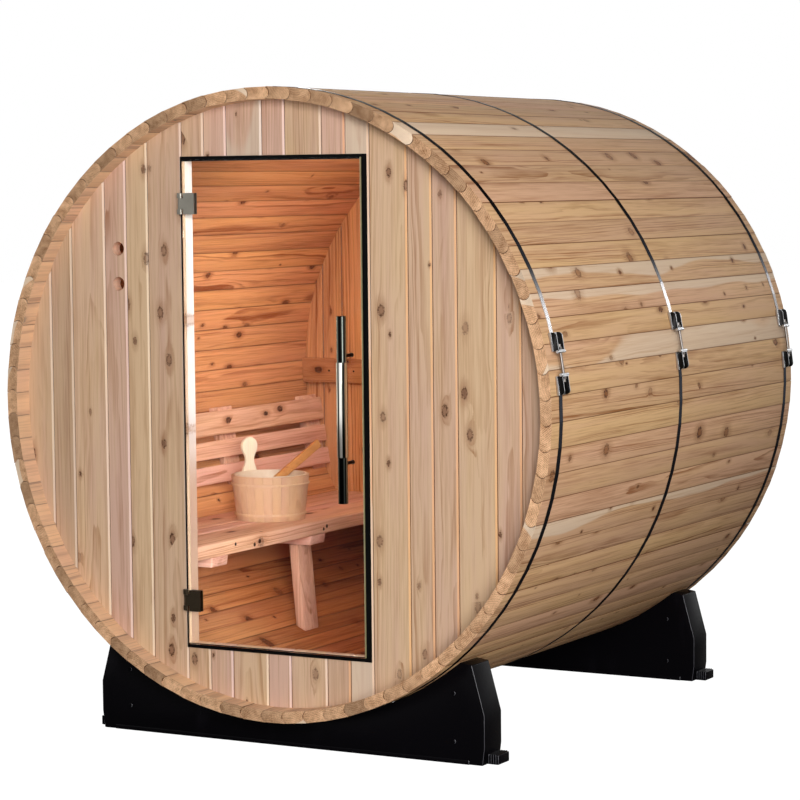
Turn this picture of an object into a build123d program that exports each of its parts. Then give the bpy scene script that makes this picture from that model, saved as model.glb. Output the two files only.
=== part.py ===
from build123d import *
from math import cos, radians, sin, sqrt, tan
import os

# Barrel sauna. Millimetres, +Z up, +Y from the door end to the back end.
# The origin is on the ground, under the middle of the barrel.

# Barrel
BARREL_DIAMETER = 1828.8
BARREL_LENGTH = 1777.0
UNDERSIDE_HEIGHT = 85.6
STAVE_THICKNESS = 35.0
STAVE_COUNT = 80
SEGMENT_COUNT = 16
FIRST_JOINT_DEG = 3.4

# End walls
WALL_THICKNESS = 38.0
FRONT_RECESS = 60.0
BACK_RECESS = 49.0
GROOVE_DEPTH = 8.0
BATTEN_WIDTH = 86.0
BATTEN_THICKNESS = 25.0
BATTEN_DROP = 18.0

# Doorway, measured from the barrel's axis
DOORWAY_LEFT = -300.0
DOORWAY_RIGHT = 295.0
DOORWAY_TOP = 706.0
DOORWAY_BOTTOM = -711.0
SEAL_THICKNESS = 4.0
SEAL_LEFT = 14.0
SEAL_SETBACK_LEFT = 9.0
SEAL_RIGHT = 17.0
SEAL_TOP = 14.0
SEAL_BOTTOM = 14.0

# Glass door
GLASS_THICKNESS = 8.0
GLASS_GAP = 5.0
GLASS_LAP_RIGHT = 4.0
GLASS_LAP_TOP = 5.0
GLASS_LAP_BOTTOM = 1.0

# Hinges
HINGE_HEIGHT = 583.0
HINGE_PLATE = 62.0
HINGE_PIN_X = -308.0
CLAMP_WIDTH = 38.0
CLAMP_THICKNESS = 5.0
LEAF_WIDTH = 8.0
LEAF_THICKNESS = 6.0
KNUCKLE_RADIUS = 6.0
KNUCKLE_GAP = 0.5
LUG_LENGTH = 32.0
PIN_RADIUS = 3.5
PIN_CLEARANCE = 0.05

# Handle
HANDLE_X = 259.0
HANDLE_LENGTH = 531.0
HANDLE_RADIUS = 14.5
GRIP_RADIUS = 16.5
GRIP_LENGTH = 269.0
HANDLE_STANDOFF = 46.0
POST_RADIUS = 8.0
CAP_RADIUS = 12.0
CAP_THICKNESS = 5.0

# Vents
VENT_RADIUS = 20.5
VENT_X = -541.0
VENT_HEIGHTS = (451.0, 347.0)

# Hoops and their tighteners
HOOP_INSET = 57.0
HOOP_MIDDLE = 875.0
HOOP_WIDTH = 20.0
HOOP_THICKNESS = 1.5
TIGHTENER_DEGS = (8.9, 10.1, 7.7)
TIGHTENER_GAP = 68.0
TIGHTENER_SLACKS = (0.0, 0.0, 16.0)
BRACKET_LENGTH = 52.0
BRACKET_WIDTH = 38.0
BRACKET_PLATE = 3.0
BRACKET_BASE = 48.0
BRACKET_HEIGHT = 20.0
BRACKET_EAR = 19.0
ROD_RADIUS = 4.0
ROD_OVERRUN = 18.0
NUT_RADIUS = 7.0
NUT_LENGTH = 7.0
ROD_LIFT = 14.0

# Cradles
CRADLE_DEPTH = 105.0
CRADLE_INSET = 95.0
CRADLE_BACK_INSET = 87.0
CRADLE_HALF_BASE = 645.0
CRADLE_HALF_WAIST = 652.0
CRADLE_WAIST_LOW = 52.0
CRADLE_WAIST_HIGH = 143.0
CRADLE_HALF_TOP = 613.0
CRADLE_TOP_RUN = 38.0
CRADLE_FOOT_REACH = 34.0
CRADLE_FOOT_WIDTH = 68.0
CRADLE_FOOT_HEIGHT = 28.0
CRADLE_FOOT_BACK = 5.0
SEAT_CLEARANCE = 0.3

# Bench
BENCH_DROP = 443.0
BENCH_FRONT = -350.0
BENCH_THICKNESS = 44.0
BENCH_BOARDS = (162.0, 76.0, 142.0)
BOARD_GAP = 4.0
BENCH_END_GAP = 2.0
CLEAT_WIDTH = 89.0
CLEAT_THICKNESS = 30.0
CLEAT_SPACING = 581.0
CLEAT_FORWARD = 11.0
CLEAT_SETBACK = 2.0
CLEAT_SLANT = 5.0
LEG_WIDTH = 86.0
LEG_THICKNESS = 32.0
LEG_SETBACK = 49.0
LEG_FORWARD = 10.0
LEG_LEAN_DEG = -5.1

# Backrest
SLAT_HEIGHTS = (80.0, 58.0, 58.0)
SLAT_GAPS = (18.0, 23.0)
SLAT_THICKNESS = 20.0
BACKREST_TOP = -112.0
BACKREST_TOP_X = -816.0
BACKREST_LEAN_DEG = 9.0
POST_WIDTH = 89.0
POST_OFFSET = 197.0
POST_OVERRUN = 12.0

# Bucket and ladle
BUCKET_X = -530.0
BUCKET_Y = 880.0
BUCKET_HEIGHT = 145.0
BUCKET_TOP_RADIUS = 126.0
BUCKET_BOTTOM_RADIUS = 110.0
BUCKET_WALL = 11.0
BUCKET_BASE = 14.0
GRIP_STAVE_DEG = 156.0
GRIP_STAVE_HEIGHT = 113.0
GRIP_STAVE_NECK = 40.0
GRIP_STAVE_KNOB = 32.0
GRIP_STAVE_THICKNESS = 12.0
LADLE_LENGTH = 283.0
LADLE_WIDTH = 27.0
LADLE_THICKNESS = 12.0
LADLE_CUP_RADIUS = 36.0
LADLE_CUP_DEPTH = 42.0
LADLE_CUP_WALL = 4.0
LADLE_TURN_DEG = 64.0
LADLE_RISE_DEG = 33.5
LADLE_SIDE = 20.0
LADLE_INWARD = 6.0

# Worked out from the sizes above
OUTER = BARREL_DIAMETER / 2
AXIS_HEIGHT = UNDERSIDE_HEIGHT + OUTER
INNER = OUTER - STAVE_THICKNESS
RIM_FRONT = -BARREL_LENGTH / 2
RIM_BACK = BARREL_LENGTH / 2
STEP_DEG = 360.0 / STAVE_COUNT
CLEAR_INNER = INNER * cos(radians(STEP_DEG / 2)) - SEAT_CLEARANCE
FRONT_FACE = RIM_FRONT + FRONT_RECESS
FRONT_INSIDE = FRONT_FACE + WALL_THICKNESS
BACK_FACE = RIM_BACK - BACK_RECESS
BACK_INSIDE = BACK_FACE - WALL_THICKNESS
MIDDLE = (FRONT_INSIDE + BACK_INSIDE) / 2
BENCH_TOP = AXIS_HEIGHT - BENCH_DROP
CLEAT_TOP = BENCH_TOP - BENCH_THICKNESS
CLEAT_BOTTOM = CLEAT_TOP - CLEAT_THICKNESS
GLASS_BACK = FRONT_FACE - SEAL_THICKNESS - GLASS_GAP
GLASS_FRONT = GLASS_BACK - GLASS_THICKNESS
GLASS_MIDDLE = (GLASS_BACK + GLASS_FRONT) / 2
GLASS_LEFT = DOORWAY_LEFT
GLASS_RIGHT = DOORWAY_RIGHT + GLASS_LAP_RIGHT
GLASS_TOP = DOORWAY_TOP + GLASS_LAP_TOP
GLASS_BOTTOM = DOORWAY_BOTTOM - GLASS_LAP_BOTTOM


def box(x0, x1, y0, y1, z0, z1):
    """A box between two corners."""
    centre = Pos((x0 + x1) / 2, (y0 + y1) / 2, (z0 + z1) / 2)
    return centre * Box(x1 - x0, y1 - y0, z1 - z0)


def prism(points, y0, y1):
    """A polygon given as (x, z) points, drawn out from y0 to y1."""
    outline = Wire.make_polygon([(x, y0, z) for x, z in points], close=True)
    return extrude(Face(outline), amount=y1 - y0, dir=(0, 1, 0))


def rod(x, z, radius, y0, y1):
    """A round bar along Y."""
    return Pos(x, (y0 + y1) / 2, z) * Rot(90, 0, 0) * Cylinder(radius, y1 - y0)


def facet_point(radius, joint):
    """The (x, z) point on a stave joint at this radius."""
    angle = radians(FIRST_JOINT_DEG + joint * STEP_DEG)
    return radius * cos(angle), AXIS_HEIGHT + radius * sin(angle)


def facet_disc(radius, y0, y1):
    """A disc with one flat for each stave."""
    return prism([facet_point(radius, i) for i in range(STAVE_COUNT)], y0, y1)


def inside_barrel(y0, y1):
    """The round space that the inner faces of the staves leave clear."""
    return rod(0, AXIS_HEIGHT, CLEAR_INNER, y0, y1)


def stave_segment(number):
    """One run of staves, with the grooves that hold both end walls."""
    each = STAVE_COUNT // SEGMENT_COUNT
    joints = range(number * each, (number + 1) * each + 1)
    outer = [facet_point(OUTER, i) for i in joints]
    inner = [facet_point(INNER, i) for i in reversed(joints)]
    solid = prism(outer + inner, RIM_FRONT, RIM_BACK)
    for y in (FRONT_FACE, BACK_INSIDE):
        solid -= facet_disc(INNER + GROOVE_DEPTH, y, y + WALL_THICKNESS)
    return solid


def front_wall():
    """The front wall's four pieces: beside, over and under the doorway."""
    disc = facet_disc(INNER + GROOVE_DEPTH, FRONT_FACE, FRONT_INSIDE)
    top = AXIS_HEIGHT + DOORWAY_TOP
    bottom = AXIS_HEIGHT + DOORWAY_BOTTOM
    depth = (FRONT_FACE, FRONT_INSIDE)
    beside = (AXIS_HEIGHT - OUTER, AXIS_HEIGHT + OUTER)
    pieces = {
        "front_wall_left": disc & box(-OUTER, DOORWAY_LEFT, *depth, *beside),
        "front_wall_right": disc & box(DOORWAY_RIGHT, OUTER, *depth, *beside),
        "front_wall_top": disc & box(DOORWAY_LEFT, DOORWAY_RIGHT, *depth, top, beside[1]),
        "front_wall_bottom": disc & box(DOORWAY_LEFT, DOORWAY_RIGHT, *depth, beside[0], bottom),
    }
    for height in VENT_HEIGHTS:
        pieces["front_wall_left"] -= rod(VENT_X, AXIS_HEIGHT + height, VENT_RADIUS, *depth)
    return pieces


def door_seal():
    """The flat black seal on the wall's face, round the doorway."""
    y0, y1 = FRONT_FACE - SEAL_THICKNESS, FRONT_FACE
    outer = box(
        DOORWAY_LEFT - SEAL_LEFT,
        DOORWAY_RIGHT + SEAL_RIGHT,
        y0,
        y1,
        AXIS_HEIGHT + DOORWAY_BOTTOM - SEAL_BOTTOM,
        AXIS_HEIGHT + DOORWAY_TOP + SEAL_TOP,
    )
    return outer - box(
        DOORWAY_LEFT - SEAL_SETBACK_LEFT,
        DOORWAY_RIGHT,
        y0,
        y1,
        AXIS_HEIGHT + DOORWAY_BOTTOM,
        AXIS_HEIGHT + DOORWAY_TOP,
    )


def back_batten():
    """The board across the inside of the back wall."""
    y0, y1 = BACK_INSIDE - BATTEN_THICKNESS, BACK_INSIDE
    middle = AXIS_HEIGHT - BATTEN_DROP
    board = box(-OUTER, OUTER, y0, y1, middle - BATTEN_WIDTH / 2, middle + BATTEN_WIDTH / 2)
    return board & inside_barrel(y0, y1)


def door_glass():
    """The frameless glass door."""
    return box(
        GLASS_LEFT,
        GLASS_RIGHT,
        GLASS_FRONT,
        GLASS_BACK,
        AXIS_HEIGHT + GLASS_BOTTOM,
        AXIS_HEIGHT + GLASS_TOP,
    )


def hinge_leaf(height):
    """The half of a hinge on the wall: a leaf, two knuckles and the pin."""
    low, high = height - HINGE_PLATE / 2, height + HINGE_PLATE / 2
    seal_edge = DOORWAY_LEFT - SEAL_LEFT - SEAT_CLEARANCE
    leaf_front = FRONT_FACE - LEAF_THICKNESS
    solid = box(seal_edge - LEAF_WIDTH, seal_edge, leaf_front, FRONT_FACE, low, high)
    reach = LUG_LENGTH / 2 + KNUCKLE_GAP
    for z0, z1 in ((low, height - reach), (height + reach, high)):
        solid += box(
            seal_edge - KNUCKLE_RADIUS,
            HINGE_PIN_X,
            GLASS_MIDDLE,
            FRONT_FACE - SEAL_THICKNESS - SEAT_CLEARANCE,
            z0,
            z1,
        )
        solid += Pos(HINGE_PIN_X, GLASS_MIDDLE, (z0 + z1) / 2) * Cylinder(KNUCKLE_RADIUS, z1 - z0)
    return solid + Pos(HINGE_PIN_X, GLASS_MIDDLE, height) * Cylinder(PIN_RADIUS, HINGE_PLATE)


def hinge_clamp(height):
    """The half of a hinge on the glass: two plates and the lug round the pin."""
    plate_left = GLASS_LEFT + KNUCKLE_RADIUS
    low, high = height - HINGE_PLATE / 2, height + HINGE_PLATE / 2
    lug = (height - LUG_LENGTH / 2, height + LUG_LENGTH / 2)
    front = (GLASS_FRONT - CLAMP_THICKNESS, GLASS_FRONT)
    back = (GLASS_BACK, GLASS_BACK + CLAMP_THICKNESS)
    web = (HINGE_PIN_X + GLASS_LEFT) / 2
    solid = box(web, GLASS_LEFT, front[0], back[1], *lug)
    for y0, y1 in (front, back):
        solid += box(web, plate_left, y0, y1, *lug)
        solid += box(plate_left, plate_left + CLAMP_WIDTH, y0, y1, low, high)
    solid += Pos(HINGE_PIN_X, GLASS_MIDDLE, height) * Cylinder(KNUCKLE_RADIUS, LUG_LENGTH)
    return solid - Pos(HINGE_PIN_X, GLASS_MIDDLE, height) * Cylinder(PIN_RADIUS + PIN_CLEARANCE, HINGE_PLATE)


def door_handle():
    """The long pull handle: a bar, a thicker grip, two posts and the caps behind the glass."""
    bar_y = GLASS_FRONT - HANDLE_STANDOFF
    bar = Cylinder(HANDLE_RADIUS, HANDLE_LENGTH) + Cylinder(GRIP_RADIUS, GRIP_LENGTH)
    solid = Pos(HANDLE_X, bar_y, AXIS_HEIGHT) * bar
    caps = []
    for side in (-1, 1):
        z = AXIS_HEIGHT + side * (GRIP_LENGTH / 2 + 2 * POST_RADIUS)
        solid += rod(HANDLE_X, z, POST_RADIUS, bar_y, GLASS_FRONT)
        caps.append(rod(HANDLE_X, z, CAP_RADIUS, GLASS_BACK, GLASS_BACK + CAP_THICKNESS))
    return [solid, *caps]


def hoop(y, angle, gap):
    """A steel band round the barrel, open between its tightener's brackets."""
    y0, y1 = y - HOOP_WIDTH / 2, y + HOOP_WIDTH / 2
    band = facet_disc(OUTER + HOOP_THICKNESS, y0, y1) - facet_disc(OUTER, y0, y1)
    half = gap / 2 + BRACKET_PLATE
    opening = box(OUTER / 2, OUTER * 2, y0, y1, -half, half)
    return band - Pos(0, 0, AXIS_HEIGHT) * Rot(0, -angle, 0) * opening


def bracket(y, angle, gap, side):
    """The bracket on one end of a hoop: a plate, an end flange and two ears."""
    near = side * gap / 2
    far = near + side * BRACKET_LENGTH
    z0, z1 = sorted((near, far))
    seat = OUTER + HOOP_THICKNESS
    low = sqrt(seat**2 - (gap / 2) ** 2)
    top = low + BRACKET_HEIGHT
    y0, y1 = y - BRACKET_WIDTH / 2, y + BRACKET_WIDTH / 2
    wide = y - BRACKET_BASE / 2, y + BRACKET_BASE / 2
    flange = sorted((near, near + side * BRACKET_PLATE))
    solid = box(low - BRACKET_PLATE, top, y0, y1, *flange)
    solid += box(low - 2 * BRACKET_PLATE, low + BRACKET_PLATE, *wide, z0, z1)
    for edge in (y0, y1 - BRACKET_PLATE):
        solid += box(low - BRACKET_PLATE, low + BRACKET_EAR, edge, edge + BRACKET_PLATE, z0, z1)
    solid -= rod(0, 0, seat + SEAT_CLEARANCE, *wide)
    solid -= Pos(low + ROD_LIFT, y, near) * Cylinder(ROD_RADIUS + PIN_CLEARANCE, 4 * BRACKET_PLATE)
    return Pos(0, 0, AXIS_HEIGHT) * Rot(0, -angle, 0) * solid


def tightener_rod(y, angle, gap):
    """The threaded rod that draws a hoop's two ends together, with its nuts."""
    seat = sqrt((OUTER + HOOP_THICKNESS) ** 2 - (gap / 2) ** 2)
    solid = Cylinder(ROD_RADIUS, gap + 2 * ROD_OVERRUN)
    for side in (-1, 1):
        offset = side * (gap / 2 + BRACKET_PLATE + NUT_LENGTH / 2)
        solid += Pos(0, 0, offset) * extrude(RegularPolygon(NUT_RADIUS, 6), NUT_LENGTH / 2, both=True)
    solid = Pos(seat + ROD_LIFT, y, 0) * solid
    return Pos(0, 0, AXIS_HEIGHT) * Rot(0, -angle, 0) * solid


def cradle(y0):
    """A moulded cradle: a hollowed top that fits the barrel, and two feet at its ends."""
    seat = OUTER + SEAT_CLEARANCE
    y1 = y0 + CRADLE_DEPTH
    inner_top = CRADLE_HALF_TOP - CRADLE_TOP_RUN
    top = AXIS_HEIGHT - sqrt(seat**2 - inner_top**2)
    right = [
        (CRADLE_HALF_BASE, 0),
        (CRADLE_HALF_WAIST, CRADLE_WAIST_LOW),
        (CRADLE_HALF_WAIST, CRADLE_WAIST_HIGH),
        (CRADLE_HALF_TOP, top - CRADLE_TOP_RUN / 8),
        (inner_top, top),
    ]
    left = [(-x, z) for x, z in reversed(right)]
    solid = prism(right + left, y0, y1) - rod(0, AXIS_HEIGHT, seat, y0, y1)
    foot_y = y0 + CRADLE_DEPTH - CRADLE_FOOT_BACK - CRADLE_FOOT_WIDTH
    for side in (-1, 1):
        inside, tip = side * CRADLE_HALF_BASE * 0.96, side * (CRADLE_HALF_BASE + CRADLE_FOOT_REACH)
        x0, x1 = sorted((inside, tip))
        solid += box(x0, x1, foot_y, foot_y + CRADLE_FOOT_WIDTH, 0, CRADLE_FOOT_HEIGHT)
    return solid


def cleat_places():
    """Where the three cleats start along Y."""
    first = MIDDLE - CLEAT_FORWARD - CLEAT_SPACING - CLEAT_WIDTH / 2
    return [first + i * CLEAT_SPACING for i in range(3)]


def bench_boards():
    """The bench's long boards, the last one shaped to the staves."""
    y0, y1 = FRONT_INSIDE + BENCH_END_GAP, BACK_INSIDE - BENCH_END_GAP
    boards = []
    right = BENCH_FRONT
    for i, width in enumerate(BENCH_BOARDS):
        last = i == len(BENCH_BOARDS) - 1
        left = -OUTER if last else right - width
        board = box(left, right, y0, y1, CLEAT_TOP, BENCH_TOP)
        boards.append(board & inside_barrel(y0, y1) if last else board)
        right -= width + BOARD_GAP
    return boards


def bench_cleats():
    """The three flat cleats under the bench, seated on the staves."""
    cleats = []
    for y0 in cleat_places():
        y1 = y0 + CLEAT_WIDTH
        outline = [
            (-OUTER, CLEAT_BOTTOM),
            (BENCH_FRONT - CLEAT_SETBACK - CLEAT_SLANT, CLEAT_BOTTOM),
            (BENCH_FRONT - CLEAT_SETBACK, CLEAT_TOP),
            (-OUTER, CLEAT_TOP),
        ]
        cleats.append(prism(outline, y0, y1) & inside_barrel(y0, y1))
    return cleats


def bench_leg():
    """The leg under the middle cleat, standing on the staves."""
    y0 = cleat_places()[1] - LEG_FORWARD
    y1 = y0 + LEG_WIDTH
    right = BENCH_FRONT - LEG_SETBACK
    lean = tan(radians(LEG_LEAN_DEG)) * CLEAT_BOTTOM
    outline = [
        (right, CLEAT_BOTTOM),
        (right - LEG_THICKNESS, CLEAT_BOTTOM),
        (right - LEG_THICKNESS - lean, 0),
        (right - lean, 0),
    ]
    return prism(outline, y0, y1) & inside_barrel(y0, y1)


def backrest_line(down):
    """The (x, z) point on the backrest's front face, this far down its slope."""
    lean = radians(BACKREST_LEAN_DEG)
    return BACKREST_TOP_X + down * sin(lean), AXIS_HEIGHT + BACKREST_TOP - down * cos(lean)


def behind(point, distance):
    """The (x, z) point square behind the backrest's face."""
    lean = radians(BACKREST_LEAN_DEG)
    return point[0] - distance * cos(lean), point[1] - distance * sin(lean)


def backrest_slats():
    """Three leaning slats along the whole cabin."""
    y0, y1 = FRONT_INSIDE + BENCH_END_GAP, BACK_INSIDE - BENCH_END_GAP
    slats = []
    down = 0.0
    for height, gap in zip(SLAT_HEIGHTS, (*SLAT_GAPS, 0.0)):
        high, low = backrest_line(down), backrest_line(down + height)
        outline = [high, low, behind(low, SLAT_THICKNESS), behind(high, SLAT_THICKNESS)]
        slats.append(prism(outline, y0, y1))
        down += height + gap
    return slats


def backrest_posts():
    """The wedges that carry the slats, shaped to the staves."""
    run = sum(SLAT_HEIGHTS) + sum(SLAT_GAPS) + POST_OVERRUN
    high, low = backrest_line(-POST_OVERRUN), backrest_line(run)
    outline = [
        behind(high, SLAT_THICKNESS),
        behind(low, SLAT_THICKNESS),
        behind(low, OUTER),
        behind(high, OUTER),
    ]
    end = (BACK_INSIDE - FRONT_INSIDE) / 2 - POST_WIDTH / 2 - BENCH_END_GAP
    posts = []
    for offset in (-end, -POST_OFFSET, POST_OFFSET, end):
        y0 = MIDDLE + offset - POST_WIDTH / 2
        y1 = y0 + POST_WIDTH
        posts.append(prism(outline, y0, y1) & inside_barrel(y0, y1))
    return posts


def water_bucket():
    """A tapered bucket with one long stave that ends in a knob."""
    shell = Cone(BUCKET_BOTTOM_RADIUS, BUCKET_TOP_RADIUS, BUCKET_HEIGHT)
    hollow = Cone(
        BUCKET_BOTTOM_RADIUS - BUCKET_WALL,
        BUCKET_TOP_RADIUS - BUCKET_WALL,
        BUCKET_HEIGHT,
    )
    base = Pos(0, 0, (BUCKET_BASE - BUCKET_HEIGHT) / 2) * Cylinder(BUCKET_BOTTOM_RADIUS - 1, BUCKET_BASE)
    bucket = Pos(0, 0, BUCKET_HEIGHT / 2) * (shell - hollow + base)
    knob_z = BUCKET_HEIGHT + GRIP_STAVE_HEIGHT - GRIP_STAVE_KNOB
    stave_x = BUCKET_TOP_RADIUS - BUCKET_WALL / 2
    neck = box(
        -GRIP_STAVE_THICKNESS / 2,
        GRIP_STAVE_THICKNESS / 2,
        -GRIP_STAVE_NECK / 2,
        GRIP_STAVE_NECK / 2,
        BUCKET_HEIGHT - BUCKET_WALL,
        knob_z,
    )
    knob = Pos(0, 0, knob_z) * Rot(0, 90, 0) * Cylinder(GRIP_STAVE_KNOB, GRIP_STAVE_THICKNESS)
    stave = Rot(0, 0, GRIP_STAVE_DEG) * Pos(stave_x, 0, 0) * (neck + knob)
    place = Pos(BUCKET_X, RIM_FRONT + BUCKET_Y, BENCH_TOP)
    return place * (bucket + stave)


def ladle():
    """A wooden ladle that stands in the bucket and leans on its rim."""
    cup = Cylinder(LADLE_CUP_RADIUS, LADLE_CUP_DEPTH)
    cup -= Pos(0, 0, LADLE_CUP_WALL) * Cylinder(LADLE_CUP_RADIUS - LADLE_CUP_WALL, LADLE_CUP_DEPTH)
    start = LADLE_CUP_RADIUS - LADLE_CUP_WALL / 2
    half = LADLE_THICKNESS / 2
    bar = box(start, start + LADLE_LENGTH, -half, half, LADLE_CUP_DEPTH - LADLE_WIDTH, LADLE_CUP_DEPTH)
    solid = Rot(0, -LADLE_RISE_DEG, 0) * (Pos(0, 0, LADLE_CUP_DEPTH / 2) * cup + bar)
    rise = radians(LADLE_RISE_DEG)
    lift = LADLE_CUP_RADIUS * sin(rise) + SEAT_CLEARANCE
    reach = LADLE_CUP_RADIUS * cos(rise) + LADLE_CUP_DEPTH * sin(rise)
    lean = (BUCKET_TOP_RADIUS - BUCKET_BOTTOM_RADIUS) / BUCKET_HEIGHT
    edge = BUCKET_BASE + lift + LADLE_CUP_DEPTH * cos(rise) - LADLE_CUP_RADIUS * sin(rise)
    room = BUCKET_BOTTOM_RADIUS - BUCKET_WALL + lean * edge
    solid = Rot(0, 0, LADLE_TURN_DEG) * Pos(reach - room + LADLE_INWARD, LADLE_SIDE, BUCKET_BASE + lift) * solid
    return Pos(BUCKET_X, RIM_FRONT + BUCKET_Y, BENCH_TOP) * solid


def build():
    """Every node's solids, by name."""
    nodes = {}
    for i in range(SEGMENT_COUNT):
        nodes[f"stave_segment_{i + 1:02d}"] = [stave_segment(i)]
    for name, piece in front_wall().items():
        nodes[name] = [piece]
    nodes["back_wall"] = [facet_disc(INNER + GROOVE_DEPTH, BACK_INSIDE, BACK_FACE)]
    nodes["back_batten"] = [back_batten()]
    nodes["door_seal"] = [door_seal()]
    nodes["door_glass"] = [door_glass()]
    hinge_places = [AXIS_HEIGHT + side * HINGE_HEIGHT for side in (-1, 1)]
    nodes["hinge_wall_leaves"] = [hinge_leaf(z) for z in hinge_places]
    nodes["hinge_glass_clamps"] = [hinge_clamp(z) for z in hinge_places]
    nodes["door_handle"] = door_handle()
    hoop_places = (RIM_FRONT + HOOP_INSET, RIM_FRONT + HOOP_MIDDLE, RIM_BACK - HOOP_INSET)
    gaps = [TIGHTENER_GAP + slack for slack in TIGHTENER_SLACKS]
    rings = list(zip(hoop_places, TIGHTENER_DEGS, gaps))
    nodes["hoops"] = [hoop(*ring) for ring in rings]
    nodes["tightener_brackets"] = [bracket(*ring, side) for ring in rings for side in (-1, 1)]
    nodes["tightener_rods"] = [tightener_rod(*ring) for ring in rings]
    nodes["cradle_front"] = [cradle(RIM_FRONT + CRADLE_INSET)]
    nodes["cradle_back"] = [cradle(RIM_BACK - CRADLE_BACK_INSET - CRADLE_DEPTH)]
    nodes["bench_boards"] = bench_boards()
    nodes["bench_cleats"] = bench_cleats()
    nodes["bench_leg"] = [bench_leg()]
    nodes["backrest_slats"] = backrest_slats()
    nodes["backrest_posts"] = backrest_posts()
    nodes["water_bucket"] = [water_bucket()]
    nodes["ladle"] = [ladle()]
    return nodes


os.makedirs("parts", exist_ok=True)
for node, shapes in build().items():
    solids = [solid for shape in shapes for solid in shape.solids()]
    whole = solids[0] if len(solids) == 1 else Compound(children=solids)
    export_step(whole, f"parts/{node}.step")
    print(node, len(solids), round(sum(solid.volume for solid in solids) / 1e6, 3))
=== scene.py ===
import random
from contextlib import contextmanager
from math import atan2, cos, hypot, pi, radians, sin, tan

import bpy
import numpy as np
from mathutils import Matrix, Vector


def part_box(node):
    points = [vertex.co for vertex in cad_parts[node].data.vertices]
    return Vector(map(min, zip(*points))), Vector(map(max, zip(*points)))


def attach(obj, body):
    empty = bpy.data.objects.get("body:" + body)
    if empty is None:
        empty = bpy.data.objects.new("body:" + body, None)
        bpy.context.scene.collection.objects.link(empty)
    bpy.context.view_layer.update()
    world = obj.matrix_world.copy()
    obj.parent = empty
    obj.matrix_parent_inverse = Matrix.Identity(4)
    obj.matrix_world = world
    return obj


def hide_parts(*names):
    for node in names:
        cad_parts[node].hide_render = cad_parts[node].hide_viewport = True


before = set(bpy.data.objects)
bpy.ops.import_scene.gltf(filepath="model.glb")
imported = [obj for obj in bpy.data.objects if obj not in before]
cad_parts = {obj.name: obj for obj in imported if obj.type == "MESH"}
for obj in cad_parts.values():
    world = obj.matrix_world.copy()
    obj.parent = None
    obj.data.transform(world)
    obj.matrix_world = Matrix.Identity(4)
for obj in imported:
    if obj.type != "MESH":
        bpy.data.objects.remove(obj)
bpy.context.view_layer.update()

# ------------------------
# The view: a long lens, well in front of the door end and to its right, at a
# little over half the barrel's height and dipped slightly.
CAMERA_PLACE = (4.2295, -7.6749, 1.6337)
CAMERA_TURN = 29.15
CAMERA_DIP = 4.416
CAMERA_ROLL = -0.589
CAMERA_LENS = 125.84

moved, turned = Matrix.Translation, Matrix.Rotation
bpy.ops.object.camera_add()
camera = bpy.context.object
camera.data.lens = CAMERA_LENS
camera.matrix_world = (
    moved(CAMERA_PLACE)
    @ turned(radians(CAMERA_TURN), 4, "Z")
    @ turned(radians(90 - CAMERA_DIP), 4, "X")
    @ turned(radians(CAMERA_ROLL), 4, "Z")
)
bpy.context.scene.camera = camera
bpy.context.scene.view_settings.view_transform = "Standard"

# ------------------------
# The cradles: two hollow mouldings in black plastic, hollowed on top to fit
# the barrel, with a ribbed foot at each end that is screwed to the ground.
CRADLE_EDGE = 0.0035
# Each screw's place along the cradle and its height.
CRADLE_SCREWS = ((-0.549, 0.185), (-0.549, 0.075), (0.554, 0.200), (0.554, 0.062))
CRADLE_SCREW_RADIUS = 0.0065
BASE_LIP_HEIGHT = 0.014
BASE_LIP_STAND = 0.003
BASE_LIP_END = 0.075
FOOT_RIBS = 4
FOOT_RIB = 0.004
FOOT_RIB_STEP = 0.0075
FIRST_FOOT_RIB = 0.009
FOOT_RIB_TOP = 0.0295


def linear(code):
    """A colour written as six hex digits, as Blender wants it."""
    levels = [int(code[i : i + 2], 16) / 255 for i in (0, 2, 4)]
    return (*[v / 12.92 if v <= 0.04045 else ((v + 0.055) / 1.055) ** 2.4 for v in levels], 1.0)


class Value:
    """One output of a shader node; the usual signs between values make Math nodes."""

    def __init__(self, socket):
        self.socket, self.tree = socket, socket.id_data

    def beside(self, output):
        """Another output of the same node."""
        return Value(self.socket.node.outputs[output])

    __add__ = lambda self, other: calc("ADD", self, other)
    __sub__ = lambda self, other: calc("SUBTRACT", self, other)
    __mul__ = lambda self, other: calc("MULTIPLY", self, other)
    __truediv__ = lambda self, other: calc("DIVIDE", self, other)


def feed(socket, value):
    """Links one input or sets it; a colour may be written as six hex digits."""
    if isinstance(value, Value):
        value.tree.links.new(value.socket, socket)
    else:
        socket.default_value = linear(value) if isinstance(value, str) else value


def add_node(kind, inputs, output=0, tree=None, **settings):
    """A shader node with its settings, in its inputs' tree; gives one output."""
    tree = tree or next(value.tree for value in inputs.values() if isinstance(value, Value))
    node = tree.nodes.new("ShaderNode" + kind)
    for name, setting in settings.items():
        setattr(node, name, setting)
    for place, value in inputs.items():
        feed(node.inputs[place], value)
    return Value(node.outputs[output])


def calc(operation, *values):
    """A Math node's result."""
    return add_node("Math", dict(enumerate(values)), operation=operation)


def ramp(value, low, high, start=0.0, end=1.0):
    """A smooth step from start to end while value goes from low to high."""
    inputs = dict(enumerate((value, low, high, start, end)))
    return add_node("MapRange", inputs, interpolation_type="SMOOTHSTEP")


def mix(share, first, second, kind="MIX"):
    """One colour laid over another."""
    return add_node("Mix", {0: share, 6: first, 7: second}, 2, data_type="RGBA", blend_type=kind)


def stretched(vector, factors):
    """A vector with each part multiplied."""
    return add_node("VectorMath", {0: vector, 1: factors}, operation="MULTIPLY")


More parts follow.
